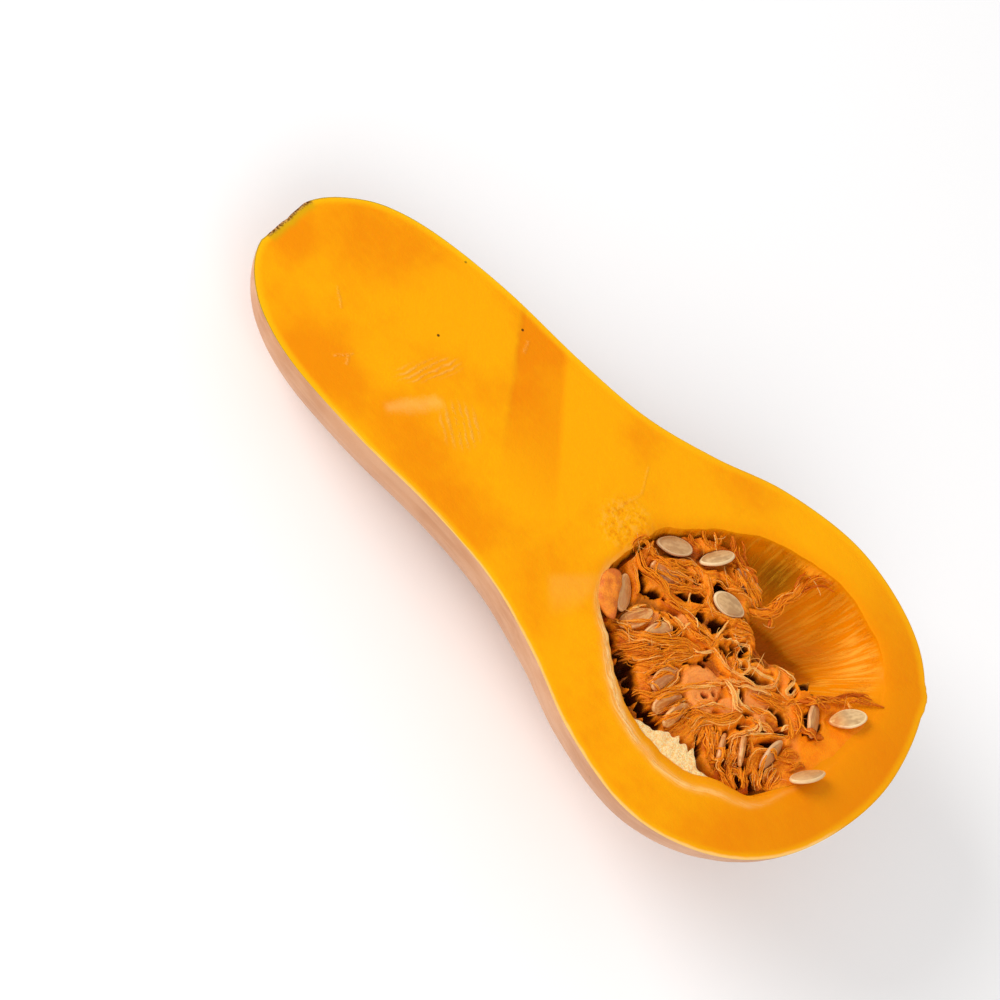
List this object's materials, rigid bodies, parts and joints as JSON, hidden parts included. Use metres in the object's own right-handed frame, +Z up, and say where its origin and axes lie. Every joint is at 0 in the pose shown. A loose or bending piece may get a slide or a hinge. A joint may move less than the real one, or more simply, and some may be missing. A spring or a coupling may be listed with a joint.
{
  "type": "butternut squash half",
  "caption": "Butternut squash cut in half lengthwise, lying on its skin with stringy pulp and seeds in its open bulb cavity.",
  "frame": {"origin": "centre of the bounding box, at the ground the half rests on", "axes": "+X from the stem end to the blossom end, +Z up, +Y across the cut face"},
  "size_m": [0.2788, 0.1426, 0.0683],
  "materials": {
    "squash_half": "satin tan skin round moist yellow-orange flesh",
    "pulp": "moist orange fibres",
    "seed": "smooth cream seed coat"
  },
  "bodies": {
    "root": {"squash_half": "squash_half", "pulp": "pulp", "seed_01": "seed", "seed_02": "seed", "seed_03": "seed", "seed_04": "seed", "seed_05": "seed", "seed_06": "seed", "seed_07": "seed", "seed_08": "seed", "seed_09": "seed", "seed_10": "seed", "seed_11": "seed", "seed_12": "seed", "seed_13": "seed", "seed_14": "seed", "seed_15": "seed", "seed_16": "seed", "seed_17": "seed"}
  },
  "joints": []
}
